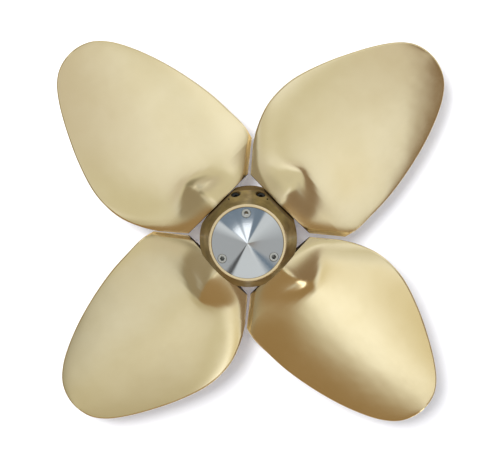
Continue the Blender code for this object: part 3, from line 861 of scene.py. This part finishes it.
def hub_metal():
    """The hub's bronze: bright on its aft face; a darker brown on the cone, which is painted shade; rough,
    with painted shade, in dark brown on the barrel and near black on the flats.
    """
    material, nodes, shader, place = new_material("hub_bronze", *PLAIN_HUB)
    cloud = nodes.spread(nodes.noise(place, *HUB_CLOUDS), *PATTERN_RANGE, 0, 1)
    grooves = nodes.noise(stretched(nodes, place, HUB_STRETCH), *HUB_GROOVES)
    # Darker brown on the cone: painted shade.
    brown = nodes.mix(cloud, *CONE_SHADE_BRONZE)
    across, along, up = parts_of(nodes, place)
    face = SPINDLE_HEIGHT + AFT_FACE_HEIGHT
    bright = nodes.spread(up, face - EDGE_ROUND, face - EDGE_ROUND / 2, 0.0, 1.0)
    metal = nodes.mix(bright, brown, RING_BRONZE)
    first = nodes.math("ABSOLUTE", nodes.math("ADD", across, along))
    second = nodes.math("ABSOLUTE", nodes.math("SUBTRACT", across, along))
    outward = nodes.math("MAXIMUM", first, second)
    edge = FLAT_DISTANCE * math.sqrt(2)
    # The flats, which face the blades' roots, get painted shade in near black, and are rough.
    flat = nodes.spread(outward, edge - GAP, edge - GAP / 2, 0.0, 1.0)
    shoulder = SPINDLE_HEIGHT + SHOULDER_HEIGHT
    # Below the shoulder the barrel gets painted shade in dark brown, and is rough and no metal.
    barrel = nodes.spread(up, shoulder - BARREL_BORDER, shoulder, 1.0, 0.0)
    shade_and_rough = nodes.math("MAXIMUM", flat, barrel)
    barrel_and_gap_shade = nodes.mix(barrel, GAP_SHADE_BRONZE, BARREL_SHADE_BROWN)
    nodes.set(shader, "Base Color", nodes.mix(shade_and_rough, metal, barrel_and_gap_shade))
    nodes.set(shader, "Metallic", nodes.one_minus(barrel))
    shader.inputs["Specular IOR Level"].default_value = 0.0
    smooth = nodes.spread(grooves, *PATTERN_RANGE, *HUB_ROUGHNESS)
    smooth = nodes.math("ADD", smooth, nodes.spread(bright, 0.0, 1.0, CONE_ROUGHNESS, 0.0))
    rough = nodes.math("MULTIPLY", shade_and_rough, DULL_ROUGHNESS)
    nodes.set(shader, "Roughness", nodes.math("MAXIMUM", smooth, rough))
    bump = nodes.add(
        "ShaderNodeBump", Height=grooves, Distance=HUB_GROOVE_HEIGHT, Strength=HUB_GROOVE_STRENGTH,
    )
    nodes.set(shader, "Normal", bump.outputs[0])
    return material


def anode_metal():
    """Grey metal with fine turned grooves, whose flanks lean out from the middle."""
    material, nodes, shader, place = new_material("anode_metal", *PLAIN_ANODE)
    flat = stretched(nodes, place, (1, 1, 0))
    radius = nodes.vector("LENGTH", flat)
    rings = nodes.noise(radius, *ANODE_GROOVES)
    lean = nodes.spread(radius, 0.0, ANODE_RADIUS, *GROOVE_LEAN)
    lean = nodes.math("MULTIPLY", lean, nodes.spread(rings, *PATTERN_RANGE, *ANODE_GROOVE_SPREAD))
    normal = nodes.add("ShaderNodeNewGeometry").outputs["True Normal"]
    outward = nodes.vector("SCALE", nodes.vector("NORMALIZE", flat), lean)
    nodes.set(shader, "Normal", nodes.vector("NORMALIZE", nodes.vector("ADD", normal, outward)))
    nodes.set(shader, "Roughness", nodes.spread(rings, *PATTERN_RANGE, *ANODE_ROUGHNESS))
    return material


def steel_metal(name, colour):
    """Machined steel, with painted shade inside its sockets."""
    material, nodes, shader, place = new_material(name, colour, PLAIN_STEEL_ROUGHNESS)
    grain = nodes.noise(place, *STEEL_GRAIN)
    nodes.set(shader, "Roughness", nodes.spread(grain, *PATTERN_RANGE, *STEEL_ROUGHNESS))
    # Painted shade, which grows with the depth into the socket.
    depth = nodes.add("ShaderNodeAttribute", {"attribute_name": DEPTH_ATTRIBUTE}).outputs["Fac"]
    nodes.set(shader, "Base Color", nodes.mix(depth, (*colour, 1), SOCKET_SHADE))
    return material


def dress_cad_nodes(steel, dark):
    """A new finish for the CAD nodes that stay, which are the nut and the pins; the pins get near black
    steel, which is painted shade.
    """
    for name in KEPT_NODES:
        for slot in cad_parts[name].material_slots:
            slot.material = steel if name == "shaft_nut" else dark


def add_floor():
    """A wide pale floor."""
    shape = bmesh.new()
    bmesh.ops.create_grid(shape, x_segments=1, y_segments=1, size=FLOOR_SIZE / 2)
    mesh = bpy.data.meshes.new("floor")
    shape.to_mesh(mesh)
    shape.free()
    floor = bpy.data.objects.new("floor", mesh)
    bpy.context.scene.collection.objects.link(floor)
    material = bpy.data.materials.new("floor_paper")
    material.use_nodes = True
    shader = material.node_tree.nodes["Principled BSDF"]
    shader.inputs["Base Color"].default_value = (*FLOOR_COLOUR, 1)
    shader.inputs["Roughness"].default_value = FLOOR_ROUGHNESS
    shader.inputs["Specular IOR Level"].default_value = FLOOR_SPECULAR
    shader.inputs["Emission Color"].default_value = (*FLOOR_GLOW, 1)
    shader.inputs["Emission Strength"].default_value = 1
    mesh.materials.append(material)


def add_lamp(name, place, size, power):
    """A soft square light that looks at the propeller. Reflections don't show it."""
    light = bpy.data.lights.new(name, "AREA")
    light.size = size
    light.energy = power
    lamp = bpy.data.objects.new(name, light)
    bpy.context.scene.collection.objects.link(lamp)
    lamp.location = place
    lamp.rotation_euler = (-Vector(place)).to_track_quat("-Z", "Y").to_euler()
    lamp.visible_glossy = False


def add_studio():
    """The studio that the metal reflects: a bright panel overhead, darker walls, and low cards and lamps."""
    world = bpy.data.worlds.new("studio")
    bpy.context.scene.world = world
    world.use_nodes = True
    nodes = Nodes(world.node_tree)
    back = world.node_tree.nodes["Background"]
    way = nodes.add("ShaderNodeTexCoord").outputs["Generated"]
    panel = (*PANEL_COLOUR, 1)
    for (east, north), radius, strength, tint in POOLS:
        aim = Vector((east, north, math.sqrt(1 - east * east - north * north)))
        dot = nodes.vector("DOT_PRODUCT", way, aim)
        near = nodes.spread(dot, math.cos(math.radians(radius)), 1.0, 0.0, 1.0)
        panel = nodes.mix(near, panel, (*(strength * part for part in tint), 1))
    east, north, up = parts_of(nodes, way)
    right = nodes.step(nodes.math("ADD", east, north), 0.0, PANEL_EDGE_SOFTNESS)
    above = nodes.step(nodes.math("SUBTRACT", north, east), 0.0, PANEL_EDGE_SOFTNESS)
    northern = nodes.mix(right, (*WEST_COLOUR, 1), (*NORTH_COLOUR, 1))
    southern = nodes.mix(right, (*SOUTH_COLOUR, 1), (*EAST_COLOUR, 1))
    walls = nodes.mix(above, southern, northern)
    aside = nodes.math("SUBTRACT", nodes.math("ADD", east, north), STRIP_MIDDLE)
    strip = nodes.one_minus(nodes.step(nodes.math("ABSOLUTE", aside), STRIP_HALF_WIDTH, STRIP_SOFTNESS))
    beyond = nodes.step(nodes.math("SUBTRACT", east, north), STRIP_REACH, STRIP_SOFTNESS)
    low = nodes.one_minus(nodes.step(up, STRIP_TOP, PANEL_EDGE_SOFTNESS))
    strip = nodes.math("MULTIPLY", nodes.math("MULTIPLY", strip, beyond), low)
    walls = nodes.mix(strip, walls, (*STRIP_COLOUR, 1))
    slanted = nodes.math("ADD", east, nodes.math("MULTIPLY", north, PANEL_EAST_SLANT))
    past_east = nodes.step(slanted, PANEL_EAST, PANEL_EAST_SOFTNESS)
    short = nodes.one_minus(nodes.step(north, EAST_WALL_END, PANEL_EDGE_SOFTNESS))
    outside = nodes.math("MULTIPLY", past_east, short)
    slanted = nodes.math("ADD", north, nodes.math("MULTIPLY", east, PANEL_SOUTH_SLANT))
    for edge in (
        nodes.one_minus(nodes.step(slanted, PANEL_SOUTH, PANEL_SOUTH_SOFTNESS)),
        nodes.one_minus(nodes.step(east, PANEL_WEST, PANEL_EDGE_SOFTNESS)),
        nodes.step(north, PANEL_NORTH, PANEL_EDGE_SOFTNESS),
    ):
        outside = nodes.math("MAXIMUM", outside, edge)
    far = nodes.mix(outside, panel, walls)
    turn = nodes.math("ARCTAN2", north, east)
    height = nodes.math("SUBTRACT", up, nodes.math("MULTIPLY", north, BAND_SLANT))
    band = nodes.add("ShaderNodeMix", {"data_type": "RGBA", "blend_type": "ADD"})
    nodes.set(band, 0, nodes.step(height, LAMPS_LOW, BAND_SOFTNESS))
    nodes.set(band, 6, nodes.turn_colours(turn, CARDS))
    nodes.set(band, 7, nodes.turn_colours(turn, LAMPS))
    nodes.set(back, "Color", nodes.mix(nodes.step(height, BAND_TOP, BAND_SOFTNESS), band.outputs[2], far))


def add_camera():
    """A camera that looks down on the propeller as in the photograph."""
    camera = bpy.data.cameras.new("camera")
    camera.sensor_width = SENSOR_WIDTH
    camera.lens = CAMERA_FOCAL_PIXELS * SENSOR_WIDTH / IMAGE_WIDTH
    camera.shift_x = (IMAGE_WIDTH / 2 - HUB_PIXEL[0]) / IMAGE_WIDTH
    camera.shift_y = (HUB_PIXEL[1] - IMAGE_HEIGHT / 2) / IMAGE_WIDTH
    item = bpy.data.objects.new("camera", camera)
    bpy.context.scene.collection.objects.link(item)
    back = Vector((math.sin(CAMERA_TILT[0]), math.sin(CAMERA_TILT[1]), 1)).normalized()
    right = Vector((0, 1, 0)).cross(back).normalized()
    up = back.cross(right)
    turn = Matrix((right, up, back)).transposed().to_4x4()
    item.matrix_world = Matrix.Translation(HUB_FRAME.translation + back * CAMERA_DISTANCE) @ turn
    bpy.context.scene.camera = item


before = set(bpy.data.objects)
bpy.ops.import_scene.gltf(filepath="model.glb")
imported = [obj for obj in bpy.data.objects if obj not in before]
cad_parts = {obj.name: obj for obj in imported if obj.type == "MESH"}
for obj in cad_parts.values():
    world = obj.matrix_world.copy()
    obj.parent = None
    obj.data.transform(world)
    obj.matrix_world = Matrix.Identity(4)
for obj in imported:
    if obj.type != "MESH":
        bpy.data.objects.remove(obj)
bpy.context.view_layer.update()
bpy.context.scene.view_settings.view_transform = "Standard"
add_camera()
add_floor()
add_lamp("key", KEY_PLACE, KEY_SIZE, KEY_POWER)
add_lamp("fill", FILL_PLACE, FILL_SIZE, FILL_POWER)
add_studio()
hub_bronze = hub_metal()
steel = steel_metal("screw_steel", SCREW_STEEL)
# Steel with painted shade, for the cap screws and the pins.
pocket_shade_steel = steel_metal("pocket_shade_steel", POCKET_SHADE_STEEL)
add_blades(blade_metal())
add_hub(hub_bronze)
add_boss(hub_bronze)
add_anode(anode_metal())
add_screws(steel, pocket_shade_steel)
dress_cad_nodes(steel, pocket_shade_steel)
